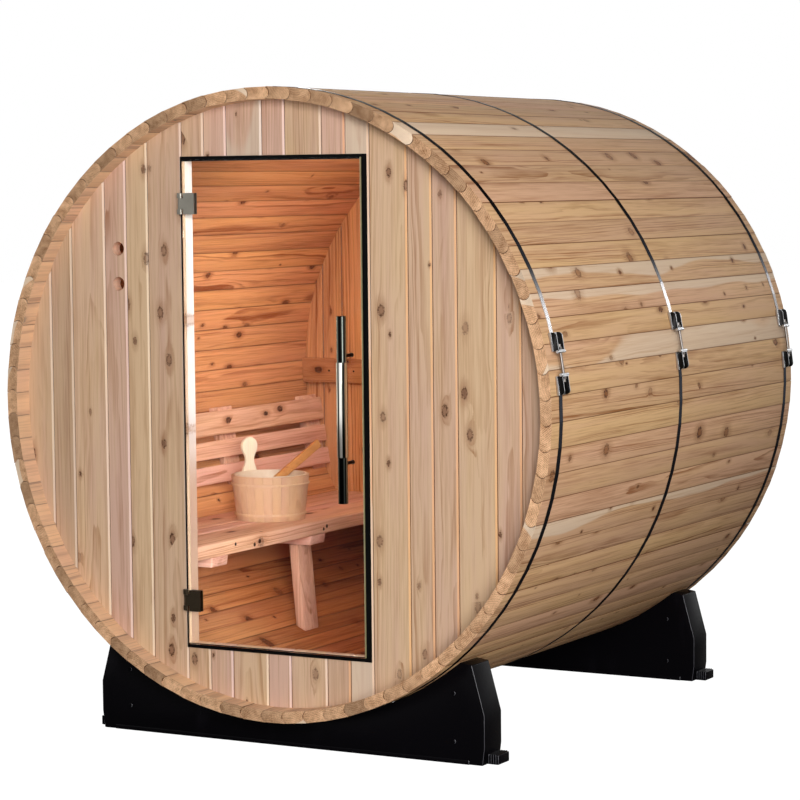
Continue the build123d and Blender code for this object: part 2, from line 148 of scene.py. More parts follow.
def noise(vector, scale, detail=2.0, roughness=0.5, output=0):
    """A noise texture's value, around 0.5."""
    inputs = {"Vector": vector, "Scale": scale, "Detail": detail, "Roughness": roughness}
    return add_node("TexNoise", inputs, output)


def object_place(tree):
    """Object coordinates, which are the frame's own, in metres."""
    return add_node("TexCoord", {}, "Object", tree)


def scaled(code, factor):
    """A colour made lighter or darker."""
    return (*[min(1.0, factor * level) for level in linear(code)[:3]], 1.0)


def new_finish(name, **plain):
    """A material with its Principled shader's plain values set."""
    finish = bpy.data.materials.new(name)
    finish.use_nodes = True
    shader = finish.node_tree.nodes["Principled BSDF"]
    for label, value in plain.items():
        shader.inputs[label.replace("_", " ")].default_value = value
    return finish, finish.node_tree, shader


def lay_on(shader, colour, roughness, relief, depth):
    """Gives a shader its colour, its roughness and a fine relief."""
    bump = add_node("Bump", {"Strength": 1.0, "Distance": depth, "Height": relief})
    for label, value in (("Base Color", colour), ("Roughness", roughness), ("Normal", bump)):
        feed(shader.inputs[label], value)


def select_only(*pieces):
    """Selects these pieces and nothing else."""
    bpy.ops.object.select_all(action="DESELECT")
    for piece in pieces:
        piece.select_set(True)
    bpy.context.view_layer.objects.active = pieces[0]


@contextmanager
def opened(piece, mode="VERT", test=lambda part: True):
    """Opens a piece for editing, with some of its points or edges picked."""
    select_only(piece)
    bpy.ops.object.mode_set(mode="EDIT")
    bpy.ops.mesh.select_mode(type=mode)
    bpy.ops.mesh.select_all(action="DESELECT")
    bpy.ops.object.mode_set(mode="OBJECT")
    for part in piece.data.vertices if mode == "VERT" else piece.data.edges:
        part.select = test(part)
    bpy.ops.object.mode_set(mode="EDIT")
    yield
    bpy.ops.object.mode_set(mode="OBJECT")


def apply_modifier(piece, kind, **settings):
    """Adds one modifier and applies it."""
    select_only(piece)
    modifier = piece.modifiers.new(kind.lower(), kind)
    for key, value in settings.items():
        setattr(modifier, key, value)
    bpy.ops.object.modifier_apply(modifier=modifier.name)


def ease_edges(piece, width, rows=2, angle=35):
    """Rounds a piece's sharp edges."""
    apply_modifier(piece, "BEVEL", width=width, segments=rows, angle_limit=radians(angle))


def just_added():
    """The mesh just added, with its size and turn applied."""
    bpy.ops.object.transform_apply()
    return bpy.context.object


def block(low, high):
    """A box between two corners, to be shaped."""
    low, high = Vector(low), Vector(high)
    bpy.ops.mesh.primitive_cube_add(size=1, location=(low + high) / 2)
    bpy.context.object.scale = high - low
    return just_added()


def round_bar(centre, radius, length, sides=32, along="Y", tip=None):
    """A round bar or cone about a centre, to be shaped."""
    turn = {"X": (0, pi / 2, 0), "Y": (-pi / 2, 0, 0), "Z": (0, 0, 0)}[along]
    sizes = dict(radius1=radius, radius2=radius if tip is None else tip, depth=length)
    bpy.ops.mesh.primitive_cone_add(vertices=sides, location=centre, rotation=turn, **sizes)
    return just_added()


def node_copy(node):
    """A CAD node's shape as clean faces, to be shaped."""
    piece = bpy.data.objects.new(node + "_copy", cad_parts[node].data.copy())
    bpy.context.scene.collection.objects.link(piece)
    with opened(piece):
        bpy.ops.mesh.remove_doubles(threshold=1e-5)
        bpy.ops.mesh.dissolve_limited(angle_limit=radians(0.6))
    return piece


def cover(piece, *finishes):
    """Gives a piece its materials."""
    piece.data.materials.clear()
    for finish in finishes:
        piece.data.materials.append(finish)


def paint_faces(piece, chooser):
    """Chooses each face's material slot by its normal and centre."""
    for face in piece.data.polygons:
        face.material_index = chooser(face.normal, face.center)


def settle(name, parts, body, slot, *nodes, angle=32):
    """Joins a piece's parts and says what it rides on and stands for; the slot is not used."""
    select_only(*parts)
    if len(parts) > 1:
        bpy.ops.object.join()
    piece = parts[0]
    piece.name = piece.data.name = name
    if angle:
        bpy.ops.object.shade_smooth_by_angle(angle=radians(angle))
    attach(piece, body)
    if nodes:
        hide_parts(*nodes)


def make_moulded_plastic(name, colour, roughness, gloss=0.035):
    """Black plastic with a fine moulded grain and dull scuffs."""
    finish, tree, shader = new_finish(name, Specular_IOR_Level=gloss)
    place = object_place(tree)
    scuffs = ramp(noise(stretched(place, (1.0, 1.0, 0.35)), 9.0, 5.0), 0.55, 0.8)
    shade = mix(scuffs, colour, scaled(colour, 2.2))
    lay_on(shader, shade, scuffs * 0.12 + roughness, noise(place, 900.0), 0.0002)
    return finish


black_plastic = make_moulded_plastic("black_plastic", "0A090C", 0.2)
# A paler, glossier plastic for the painted highlight on the cradles' corners.
highlight_plastic = make_moulded_plastic("highlight_plastic", "4A4A50", 0.3, 0.5)

for node in ("cradle_front", "cradle_back"):
    low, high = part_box(node)
    cradle = node_copy(node)
    ease_edges(cradle, CRADLE_EDGE, 3)
    lip_end = high.x - BASE_LIP_END
    lip_low, lip_high = low.y - BASE_LIP_STAND, low.y + 0.004
    lip = block((-lip_end, lip_low, low.z), (lip_end, lip_high, low.z + BASE_LIP_HEIGHT))
    ease_edges(lip, 0.002)
    parts = [cradle, lip]
    for x, height in CRADLE_SCREWS:
        head = round_bar((x, low.y + 0.0004, height), CRADLE_SCREW_RADIUS, 0.003, 16)
        ease_edges(head, 0.001, 1)
        parts.append(head)
    for side in (-1, 1):
        for step in range(FOOT_RIBS):
            x = side * (high.x - FIRST_FOOT_RIB - FOOT_RIB_STEP * step)
            left, right = x - FOOT_RIB / 2, x + FOOT_RIB / 2
            rib = block((left, low.y + 0.030, 0.002), (right, high.y - 0.003, FOOT_RIB_TOP))
            ease_edges(rib, 0.0008, 1)
            parts.append(rib)
    for part in parts:
        cover(part, black_plastic, highlight_plastic)
        # The right front corners take a paler, glossier plastic: a painted highlight.
        paint_faces(part, lambda normal, centre: int(normal.y < -0.4 and normal.x > 0.35))
    settle(node + "_moulding", parts, "cabin", "black_plastic", node)

# ------------------------
# The staves: eighty long cedar boards, flat on both faces, each with a round
# bead on one edge that sits in the hollowed edge of the next. Their sawn ends
# show at both rims.
STAVE_COUNT = 80
STAVES_EACH = 5
STAVE_THICKNESS = 0.035
STAVE_STEP = 360.0 / STAVE_COUNT
FIRST_JOINT = 3.4
BEAD_RISE = 0.009
BEAD_RADIUS = 0.0165
JOINT_SLACK = 0.0018
STAVE_EDGE = 0.0018
STAVE_GAP = 0.0010
END_SAW_ERROR = 0.0015
STAVE_STAND = 0.0007
LOG_KNOT_SPACING = 0.17
LOG_KNOT_TURNS = 1.3
LOG_RING = 0.0048
INSIDE_END = 0.815
PALE_RIM = (0.36, 0.31, 0.23, 1.0)
LOW_SHADE = (0.82, 0.60, 0.46, 1.0)
VENT_SHADE = (0.22, 0.14, 0.10, 1.0)

# For each kind of board: how light it is, how pink rather than yellow, how
# much of it is sapwood, and what share of it is free of knots.
BOARD_KINDS = {
    "t": (1.00, 0.45, 0.0, 0.50),
    "y": (1.02, 0.15, 0.0, 0.55),
    "p": (1.02, 0.95, 0.0, 0.65),
    "o": (0.93, 0.55, 0.0, 0.50),
    "b": (0.88, 0.40, 0.0, 0.50),
    "c": (1.04, 0.55, 0.9, 0.70),
    "m": (1.01, 0.60, 0.3, 0.55),
    "k": (1.03, 0.20, 0.0, 0.20),
    "w": (0.95, 0.55, 0.0, 0.25),
    "q": (1.08, 1.00, 0.0, 0.55),
    "f": (1.00, 0.30, 0.0, 0.95),
}
# The kinds of the staves on the right, up from the first joint and down from
# it; the other staves' kinds are drawn.
KINDS_UP = "ymymmyotpootctbtot"
KINDS_DOWN = "typtpmoyttptyt"

# What the cedar shader is given: where the wood lay in its log, the board's
# kind, how near its long edges are, and its colours.
CEDAR_INPUTS = {
    "Vector": "Log Board Edges",
    "Color": "Spring Summer Sapwood Knot Bark",
    "Float": "Contrast Joint",
}
CEDAR_OUTPUTS = {"Color": "Color", "Float": "Roughness Height"}


def split3(vector):
    """A vector's three numbers."""
    first = add_node("SeparateXYZ", {0: vector})
    return first, first.beside(1), first.beside(2)


def fall(value, low, high, top=1.0):
    """A smooth step down to nothing."""
    return ramp(value, low, high, top, 0.0)


def held(value, low=0.0, high=1.0):
    """A value kept between two limits."""
    return calc("MINIMUM", calc("MAXIMUM", value, low), high)


def about_zero(value, amount):
    """A noise value moved to either side of zero and made larger or smaller."""
    return (value - 0.5) * amount


def length_of(first, second):
    """The length of two sides at right angles."""
    return calc("SQRT", first * first + second * second)


def lit(colour, level):
    """A colour made lighter or darker."""
    grey = add_node("CombineColor", {0: level, 1: level, 2: level})
    return mix(1.0, colour, grey, "MULTIPLY")


def make_cedar_group():
    """Cedar as in the log: rings round the pith, fibres along it, knots out from it, sapwood outside."""
    tree = bpy.data.node_groups.new("cedar", "ShaderNodeTree")
    for way, sockets in (("INPUT", CEDAR_INPUTS), ("OUTPUT", CEDAR_OUTPUTS)):
        for kind, labels in sockets.items():
            for label in labels.split():
                tree.interface.new_socket(name=label, in_out=way, socket_type="NodeSocket" + kind)
    given = {socket.name: Value(socket) for socket in tree.nodes.new("NodeGroupInput").outputs}
    gives = tree.nodes.new("NodeGroupOutput").inputs
    log = given["Log"]
    x, y, z = split3(log)
    lightness, pinkness, sap_start = split3(given["Board"])
    first_edge, second_edge, clear_share = split3(given["Edges"])
    radius = length_of(y, z)

    def grained(along, across, detail=2.0):
        """Noise drawn out along the log."""
        return noise(stretched(log, (along, across, across)), 1.0, detail)

    # Knots: one branch in each cell along and round the log, running out from the pith.
    cell = add_node("CombineXYZ", {0: x / LOG_KNOT_SPACING, 1: calc("ARCTAN2", z, y) * LOG_KNOT_TURNS})
    branch = add_node("TexVoronoi", {"Vector": cell, "Scale": 1.0}, "Position", voronoi_dimensions="2D")
    size_chance, knot_chance, dark_chance = split3(branch.beside("Color"))
    away = add_node("VectorMath", {0: cell, 1: branch}, operation="SUBTRACT")
    away_along, away_around, _ = split3(away)
    crook_along, crook_around, mottle = split3(noise(log, 170.0, 4.0, 0.7, "Color"))
    along = away_along * LOG_KNOT_SPACING + about_zero(crook_along, 0.016)
    around = away_around / LOG_KNOT_TURNS * radius + about_zero(crook_around, 0.009)
    size = held(radius * ramp(size_chance, 0.0, 1.0, 0.018, 0.075), 0.0022, 0.0090)
    missing = calc("LESS_THAN", knot_chance, clear_share) * 50.0
    reach = length_of(along * 0.55, around) / size + missing
    drawn_out = length_of(along * 0.42, around) / size + missing

    # Rings: the distance from the pith, wandering, pushed out round each knot, unevenly spaced.
    ring = radius + about_zero(grained(1.6, 10.0, 3.0), 0.02)
    ring = ring - calc("EXPONENT", drawn_out * drawn_out * -0.45) * size * 0.8
    ring = ring + about_zero(grained(8.0, 80.0), 0.0018)
    spacing = add_node("TexNoise", {"W": ring, "Scale": 70.0}, noise_dimensions="1D")
    turns = (ring + about_zero(spacing, 0.016)) / LOG_RING
    phase = calc("FRACT", turns)
    each = add_node("TexWhiteNoise", {"W": calc("FLOOR", turns)}, noise_dimensions="1D")
    strength = grained(1.3, 40.0)
    late = ramp(phase, 0.3, 0.88) * fall(phase, 0.9, 1.0)
    late = late * ramp(each, 0.0, 1.0, 0.15, 1.0) * ramp(strength, 0.32, 0.7, 0.1, 1.0)
    fibre = grained(8.0, 480.0)
    strands = grained(3.0, 150.0)
    streak = grained(0.9, 34.0, 3.0)
    patch = grained(1.7, 9.0, 3.0)

    # Colour: spring and summer wood, a pink or yellow tint, then the sapwood.
    shade = late * 0.9 + 0.06
    for layer, amount in ((fibre, 0.85), (strands, 0.95), (streak, 0.95), (patch, 0.55)):
        shade = shade + about_zero(layer, amount)
    shade = held(shade * given["Contrast"])
    colour = mix(shade, given["Spring"], given["Summer"])
    pinker = held(pinkness + about_zero(patch, -1.6) + about_zero(streak, 1.1))
    tint = mix(pinker, (1.02, 1.005, 0.86, 1.0), (1.0, 0.92, 0.97, 1.0))
    colour = mix(1.0, colour, tint, "MULTIPLY")
    sap = ramp(ring + about_zero(grained(1.1, 0.0), 0.13) - sap_start, -0.001, 0.006, 0.0, 0.75)
    colour = mix(sap, colour, mix(shade * 0.6, given["Sapwood"], given["Spring"]))
    colour = lit(colour, lightness + about_zero(patch, 0.16))

    # Each knot has a halo, a heart and a broken dark edge round it.
    darkness = ramp(dark_chance, 0.0, 0.8, 0.4, 1.0)
    edge = ramp(reach, 0.45, 0.85) * fall(reach, 0.95, 1.35) * ramp(mottle, 0.40, 0.56)
    dark = calc("MAXIMUM", edge, fall(reach, 0.2, 0.8, 0.9) * fall(size_chance, 0.35, 0.6))
    halo, heart = fall(drawn_out, 0.7, 2.9, 0.7), fall(reach, 0.6, 1.2, 0.9)
    for share, paint in ((halo, "Summer"), (heart, "Knot"), (dark, "Bark")):
        colour = mix(share * darkness, colour, given[paint])

    # The long edges are darker at the joints: partly the joints' own dark colour, partly painted shade.
    from_edge = calc("MINIMUM", first_edge, second_edge) + about_zero(strength, 0.0010)
    joint = fall(from_edge, 0.0005, 0.0020, 0.85) + fall(from_edge, 0.001, 0.008, 0.15)
    colour = mix(held(joint * given["Joint"]), colour, given["Knot"])
    for socket, value in zip(gives, (colour, fibre * 0.2 + 0.5, fibre * 0.35 - late * 0.5 - dark * 0.8)):
        feed(socket, value)
    return tree


cedar_group = make_cedar_group()


def mesh_value(tree, name):
    """A vector that each point of the mesh carries."""
    return add_node("Attribute", {}, "Vector", tree, attribute_name=name)


def make_cedar(name, shades, contrast=1.0, joint=0.0, over=None):
    """A planed cedar face; shades are its spring and summer wood, sapwood, knots and their edges."""
    finish, tree, shader = new_finish(name, Specular_IOR_Level=0.12)
    layers = [mesh_value(tree, layer) for layer in ("log", "board", "edges")]
    values = layers + shades.split() + [contrast, joint]
    wood = add_node("Group", dict(enumerate(values)), "Color", tree, node_tree=cedar_group)
    colour = over(wood) if over else wood
    lay_on(shader, colour, wood.beside("Roughness"), wood.beside("Height"), 0.0004)
    return finish


def inside_shades(colour):
    """Light and shade kept in the colour: pale past the end walls, dark low down and by the vents."""
    x, y, z = split3(object_place(colour.tree))
    past = calc("GREATER_THAN", calc("ABSOLUTE", y), INSIDE_END)
    colour = mix(past * 0.75, colour, PALE_RIM, "SCREEN")
    colour = mix(fall(z, 0.30, 0.62) * ramp(y, -0.45, 0.0), colour, LOW_SHADE, "MULTIPLY")
    shaded = fall(y, -0.42, -0.30) * ramp(z, 0.90, 1.05) * fall(z, 1.52, 1.62)
    return mix(shaded * calc("SUBTRACT", 1.0, past), colour, VENT_SHADE, "MULTIPLY")


def make_end_grain(name, light, dark, pale):
    """A sawn end: ring arcs, open pores and a rougher, darker surface."""
    finish, tree, shader = new_finish(name, Specular_IOR_Level=0.15)
    log = mesh_value(tree, "log")
    lightness, _, sap_start = split3(mesh_value(tree, "board"))
    _, y, z = split3(log)
    blotch = noise(stretched(log, (0.2, 1.0, 1.0)), 38.0, 4.0, 0.6)
    speck = noise(log, 420.0)
    radius = length_of(y, z) + blotch * 0.004
    shade = ramp(calc("FRACT", radius / LOG_RING), 0.2, 0.9) * 0.35
    shade = held(shade + (speck - 0.42) * 1.5 + (blotch - 0.45) * 1.6)
    colour = mix(shade, light, dark)
    colour = mix(ramp(radius - sap_start, 0.0, 0.004, 0.0, 0.75), colour, pale)
    colour = lit(colour, calc("POWER", lightness, 3.5))
    lay_on(shader, colour, 0.85, speck + blotch, 0.0008)
    return finish


# A darker cedar for the faces inside the joints: painted shade in the gaps.
joint_shade_cedar = make_cedar("joint_shade_cedar", "7A5335 4E3120 7A5335 4E3120 3E2114")
cedar_outside = make_cedar("cedar_outside", "D9B28B 9C6C45 E5CDB2 85532F 452414", 1.2, 0.75)
cedar_inside = make_cedar("cedar_inside", "DC9E6E 985530 EBC4A0 6C331A 34170B", 1.15, 0.8, inside_shades)
end_grain = make_end_grain("end_grain", "F0C298", "92613C", "F0DAC0")


X, Y, Z = (1, 0, 0), (0, 1, 0), (0, 0, 1)


def cut_from_log(piece, along, outward, kind, seed, flat_sawn=0.6, middle=None, half_width=1.0, flare=0.0):
    """Stores where each point of a board lay in its log, and how near it is to the long edges."""
    chance = random.Random(seed)
    count = len(piece.data.vertices)
    points = np.empty(count * 3)
    piece.data.vertices.foreach_get("co", points)
    points = points.reshape(-1, 3)
    axes = np.array([along, outward, np.cross(along, outward)], float)
    centre = (points.min(0) + points.max(0)) / 2 if middle is None else np.array(middle)
    s, n, w = ((points - centre) @ axes.T).T
    if chance.random() < flat_sawn:
        near, side = chance.uniform(0.07, 0.2), chance.uniform(-0.035, 0.035)
    else:
        near, side = chance.uniform(0.045, 0.09), chance.choice((-1, 1)) * chance.uniform(0.07, 0.16)
    lightness, pinkness, sap, clear = BOARD_KINDS[kind]
    lightness *= chance.uniform(0.965, 1.035)
    pinkness += chance.uniform(-0.15, 0.15)
    distances = np.hypot(near + n, side + w)
    sap_start = 1.0 if sap <= 0 else distances.max() - sap * np.ptp(distances) - 0.002
    flip = chance.choice((-1, 1))
    start = chance.uniform(0, 40)
    lean, drift = chance.uniform(-0.012, 0.012), chance.uniform(-0.012, 0.012)
    layers = {
        "log": (flip * s + start, near + n + lean * s, side + w + drift * s),
        "board": (np.full(count, lightness), np.full(count, pinkness), np.full(count, sap_start)),
        "edges": (half_width + flare * n - w, half_width + flare * n + w, np.full(count, clear)),
    }
    for name, values in layers.items():
        layer = piece.data.attributes.new(name, "FLOAT_VECTOR", "POINT")
        layer.data.foreach_set("vector", np.stack(values, axis=1).astype(np.float32).ravel())


def copy_of(piece):
    """Another piece with a mesh of its own."""
    copy = piece.copy()
    copy.data = piece.data.copy()
    bpy.context.scene.collection.objects.link(copy)
    return copy


def cut(piece, tool, operation="DIFFERENCE", keep=False):
    """Cuts, joins or meets a piece with another, which is used up."""
    apply_modifier(piece, "BOOLEAN", object=tool, operation=operation, solver="EXACT")
    if not keep:
        bpy.data.objects.remove(tool)


first_low, first_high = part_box("stave_segment_01")
rim_front, rim_back = first_low.y, first_high.y
stave_length = rim_back - rim_front
axis_height = (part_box("hoops")[0].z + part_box("hoops")[1].z) / 2
half_step = radians(STAVE_STEP / 2)
outer_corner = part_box("stave_segment_04")[1].z - axis_height
inner_corner = outer_corner - STAVE_THICKNESS
outer_flat, inner_flat = outer_corner * cos(half_step), inner_corner * cos(half_step)
mid_radius = (outer_flat + inner_flat) / 2
half_outer = outer_corner * sin(half_step) - STAVE_GAP / 2
half_inner = inner_corner * sin(half_step) - STAVE_GAP / 2

# One stave, lying at three o'clock with its bead downwards.
stave = block((inner_flat, rim_front, -half_outer), (outer_flat, rim_back, half_outer))
with opened(stave, "VERT", lambda point: point.co.x < mid_radius):
    bpy.ops.transform.resize(value=(1, 1, half_inner / half_outer))
bead_at = Vector((mid_radius, 0, -mid_radius * tan(half_step) + BEAD_RADIUS - BEAD_RISE))
cut(stave, round_bar(bead_at, BEAD_RADIUS, stave_length, 40), "UNION")
hollow_at = turned(-2 * half_step, 3, "Y") @ bead_at
cut(stave, round_bar(hollow_at, BEAD_RADIUS + JOINT_SLACK, 2 * stave_length, 40))
apply_modifier(stave, "WELD", merge_threshold=1e-5)
ease_edges(stave, STAVE_EDGE, 2, 40)

stave_kinds = dict(enumerate(KINDS_UP))
stave_kinds |= {STAVE_COUNT - 1 - number: kind for number, kind in enumerate(KINDS_DOWN)}
draw = random.Random(11)
for segment in range(STAVE_COUNT // STAVES_EACH):
    staves = []
    for number in range(segment * STAVES_EACH, (segment + 1) * STAVES_EACH):
        copy = copy_of(stave)
        turn = radians(FIRST_JOINT + (number + 0.5) * STAVE_STEP)
        drift = draw.uniform(-END_SAW_ERROR, END_SAW_ERROR)
        stand = draw.uniform(-STAVE_STAND, STAVE_STAND)
        place = moved((0, drift, axis_height)) @ turned(-turn, 4, "Y")
        copy.data.transform(place @ moved((stand, 0, 0)))
        kind = stave_kinds.get(number) or draw.choice("tttyyooopmb")
        outward = Vector((cos(turn), 0, sin(turn)))
        seat = outward * mid_radius + Vector((0, 0, axis_height))
        flare = tan(half_step)
        cut_from_log(copy, Y, outward, kind, 100 + number, 0.7, seat, mid_radius * flare, flare)
        cover(copy, cedar_outside, cedar_inside, end_grain, joint_shade_cedar)

        # Faces across the joints take the darker cedar, as painted shade.
        def choose(normal, centre, out=outward):
            if abs(normal.y) > 0.6:
                return 2
            facing = normal.dot(out)
            return 3 if abs(facing) < 0.3 else int(facing < 0)

        paint_faces(copy, choose)
        staves.append(copy)
    number = f"{segment + 1:02d}"
    settle("staves_" + number, staves, "cabin", "staves", "stave_segment_" + number, angle=30)
bpy.data.objects.remove(stave)

# ------------------------
# The end walls: upright tongue-and-groove cedar boards in two widths, their
# long edges chamfered so that each joint is a V, cut round to fit the staves.
BOARD_WIDTHS = {"N": 0.0775, "W": 0.1215}
WALL_BOARDS = "WWNWNNWNNWNWNNWNNWNWW"
WALL_LEFT = -1.033
WALL_CHAMFER = 0.0046
WALL_JOINT = 0.0006
WALL_OVERLAP = 0.01
WALL_KINDS = "oobypkwtpyptomkttytto"
# The kinds of the short boards over the door; their lighter, pinker tone is partly the boards' own, partly
# painted light.
OVER_DOOR = "qmqyq"
FIRST_OVER_DOOR = 8
LAST_PALE_CHAMFER = 11
BACK_WALL_SHIFT = -0.015
VENTS = ((-0.541, 1.451), (-0.541, 1.347))
VENT_RADIUS = 0.0205
JAMB_PEACH = (0.62, 0.43, 0.34, 1.0)


def wall_joints():
    """The left and right edge and the number of each board that meets the barrel."""
    left = WALL_LEFT
    places = []
    for number, letter in enumerate(WALL_BOARDS):
        right = left + BOARD_WIDTHS[letter]
        if abs((left + right) / 2) <= inner_flat:
            places.append((left, right, number))
        left = right
    return places


def wall_board(template, left, right, low_y, high_y, bottom, top):
    """One upright board with its edges chamfered, cut round to fit inside the staves."""
    board = block((left + WALL_JOINT / 2, low_y, bottom), (right - WALL_JOINT / 2, high_y, top))
    with opened(board, "EDGE"):
        bpy.ops.mesh.bevel(offset=WALL_CHAMFER)
    cut(board, template, "INTERSECT", keep=True)
    return board


def round_template(low_y, high_y):
    """A disc that just fits inside the staves, to cut the boards with."""
    radius = inner_flat / cos(half_step) + 0.001
    disc = round_bar((0, 0, 0), radius, high_y - low_y + 0.1, STAVE_COUNT)
    place = moved((0, (low_y + high_y) / 2, axis_height))
    disc.data.transform(place @ turned(-radians(FIRST_JOINT), 4, "Y"))
    return disc


def jamb_shades(colour):
    """The jamb's colour is as if lit; this makes it more peach low down."""
    height = split3(object_place(colour.tree))[2]
    return mix(fall(height, 0.72, 1.05), colour, JAMB_PEACH, "MULTIPLY")


cedar_wall = make_cedar("cedar_wall", "DFBFA5 B08464 E2CDB6 966F56 4A2A1A")
chamfer_pale = make_cedar("chamfer_pale", "F0D8C6 DEBCA2 F2E2D4 8A6C5A 38190E", 0.7)
chamfer_warm = make_cedar("chamfer_warm", "E8BC94 D09A70 EED5BC 8A6C5A 38190E", 0.8)
chamfer_dark = make_cedar("chamfer_dark", "95694C 6E4830 95694C 5A3826 38190E", 0.8)
jamb_cedar = make_cedar("jamb_cedar", "F4F0F0 E8DDDA F4F0F0 DCC0AE B89078", 0.6, over=jamb_shades)


def finish_board(board, left, right, kind, seed, front, pale=False):
    """Gives a wall board its log and its finishes; right chamfers are as if lit, left ones as if shaded."""
    middle = ((left + right) / 2, (board.bound_box[0][1] + board.bound_box[6][1]) / 2, axis_height)
    cut_from_log(board, Z, (0, front, 0), kind, seed, 0.75, middle, (right - left) / 2)
    cover(board, cedar_wall, cedar_inside, chamfer_pale if pale else chamfer_warm, chamfer_dark, jamb_cedar)

    def choose(normal, centre):
        facing = normal.y * front
        if any(hypot(centre.x - x, centre.z - z) < VENT_RADIUS + 0.001 for x, z in VENTS):
            return 0
        if facing > -0.3 and normal.x > 0.4:
            return 4 if facing < 0.3 else 2
        if facing > 0.3 and normal.x < -0.4:
            return 3
        return int(facing < -0.3)

    paint_faces(board, choose)
    return board


wall_low, wall_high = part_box("front_wall_left")
back_low, back_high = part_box("back_wall")
door_left, door_right = wall_high.x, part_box("front_wall_right")[0].x
door_top, door_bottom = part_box("front_wall_top")[0].z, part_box("front_wall_bottom")[1].z
floor_level, roof_level = axis_height - inner_flat - 0.02, axis_height + inner_flat + 0.02

template = round_template(wall_low.y, wall_high.y)
groups = {"left": [], "right": [], "top": [], "bottom": []}
for left, right, number in wall_joints():
    outer_left, outer_right = left - WALL_OVERLAP, right + WALL_OVERLAP
    inner = max(outer_left, door_left), min(outer_right, door_right)
    spans = []
    if left < door_left:
        spans.append(("left", outer_left, min(outer_right, door_left), floor_level, roof_level))
    if right > door_right:
        spans.append(("right", max(outer_left, door_right), outer_right, floor_level, roof_level))
    beside = bool(spans)
    if right > door_left and left < door_right:
        spans.append(("top", *inner, door_top, roof_level))
        spans.append(("bottom", *inner, floor_level, door_bottom))
    for side, start, end, bottom, top in spans:
        board = wall_board(template, left, right, wall_low.y, wall_high.y, bottom, top)
        if start > left or end < right:
            span_low = (start, wall_low.y - 0.05, bottom - 0.05)
            cut(board, block(span_low, (end, wall_high.y + 0.05, top + 0.05)), "INTERSECT")
        for vent_x, vent_z in VENTS:
            if left < vent_x < right and side == "left":
                cut(board, round_bar((vent_x, wall_low.y, vent_z), VENT_RADIUS, 0.2, 48))
        kind, seed = WALL_KINDS[number], 300 + number
        if not beside and side == "top":
            kind, seed = OVER_DOOR[number - FIRST_OVER_DOOR], 340 + number
        elif not beside:
            seed = 370 + number
        groups[side].append(finish_board(board, left, right, kind, seed, -1, number <= LAST_PALE_CHAMFER))
for side, boards in groups.items():
    node = "front_wall_" + side
    settle(node + "_boards", boards, "cabin", "wall_boards", node, angle=25)
bpy.data.objects.remove(template)

template = round_template(back_low.y, back_high.y)
boards = []
for left, right, number in wall_joints():
    start, end = BACK_WALL_SHIFT - right, BACK_WALL_SHIFT - left
    board = wall_board(template, start, end, back_low.y, back_high.y, floor_level, roof_level)
    boards.append(finish_board(board, start, end, WALL_KINDS[-number - 1], 400 + number, 1))
bpy.data.objects.remove(template)
settle("back_wall_boards", boards, "cabin", "wall_boards", "back_wall", angle=25)

# ------------------------
# The batten: one level cedar board across the inside of the back wall, with
# one screw into each wall board.
SCREW_RADIUS = 0.0035
SCREW_INSET = 0.03

screw_steel, tree, shader = new_finish("screw_steel", Metallic=1.0, Roughness=0.5)
tarnish = noise(object_place(tree), 500.0)
feed(shader.inputs["Base Color"], mix(tarnish, "2A2320", "15100E"))
batten_cedar = make_cedar("batten_cedar", "C98B5C 8E4F2C DDB48E 5E2E18 30150A", 1.2)

low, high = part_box("back_batten")
batten = node_copy("back_batten")
ease_edges(batten, 0.003)
cut_from_log(batten, X, (0, -1, 0), "b", 500)
cover(batten, batten_cedar)
parts = [batten]
for left, right, number in wall_joints():
    middle = BACK_WALL_SHIFT - (left + right) / 2
    if abs(middle) < high.x - SCREW_INSET:
        centre = (middle, low.y - 0.0004, (low.z + high.z) / 2)
        head = round_bar(centre, SCREW_RADIUS, 0.0024, 12)
        ease_edges(head, 0.0006, 1)
        cover(head, screw_steel)
        parts.append(head)
settle("back_batten_board", parts, "cabin", "inside_boards", "back_batten")

# ------------------------
# The bench: three long cedar boards with rounded edges, on three flat cleats, with
# one leaning leg under the middle cleat. Dark knots show in its front edge.
FRONT_KNOTS = ((-0.504, 0.541), (-0.395, 0.527), (-0.365, 0.534), (0.024, 0.528), (0.044, 0.535))
KNOT_RADII = (0.0055, 0.0065, 0.0075)


def split_node(node):
    """Each solid of a CAD node as a clean mesh of its own."""
    with opened(node_copy(node)):
        bpy.ops.mesh.separate(type="LOOSE")
    return list(bpy.context.selected_objects)


def cedar_boards(name, node, along, outward, kinds, seed, edge, rows=3):
    """A node's boards with rounded edges, each cut from its own log."""
    boards = split_node(node)
    boards.sort(key=lambda b: tuple(round(c, 3) for c in b.data.vertices[0].co))
    for i, board in enumerate(boards):
        ease_edges(board, edge, rows)
        cut_from_log(board, along, outward, kinds[i % len(kinds)], seed + i, 0.8)
        cover(board, bench_cedar)
    settle(name, boards, "cabin", "inside_boards", node)


bench_cedar = make_cedar("bench_cedar", "E6B8A0 B07552 F4DCC8 5A2E1C 2A120A", 1.15)
cedar_boards("bench_top_boards", "bench_boards", Y, Z, "tpk", 600, 0.005)

knot_wood, tree, shader = new_finish("knot_wood", Specular_IOR_Level=0.1)
bark = noise(object_place(tree), 700.0, 3.0)
lay_on(shader, mix(bark, "1E0E08", "4A2414"), 0.7, bark, 0.0006)
bench_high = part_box("bench_boards")[1]
knots = []
for number, (y, z) in enumerate(FRONT_KNOTS):
    radius = KNOT_RADII[number % len(KNOT_RADII)]
    plug = round_bar((bench_high.x - 0.0004, y, z), radius, 0.002, 11, "X")
    ease_edges(plug, 0.0005, 1)
    cover(plug, knot_wood)
    knots.append(plug)
settle("bench_front_knots", knots, "cabin", "inside_boards")
cedar_boards("bench_cleat_boards", "bench_cleats", X, (0, 0, -1), "pp", 620, 0.003, 2)
cedar_boards("bench_leg_board", "bench_leg", Z, X, "o", 642, 0.003, 2)

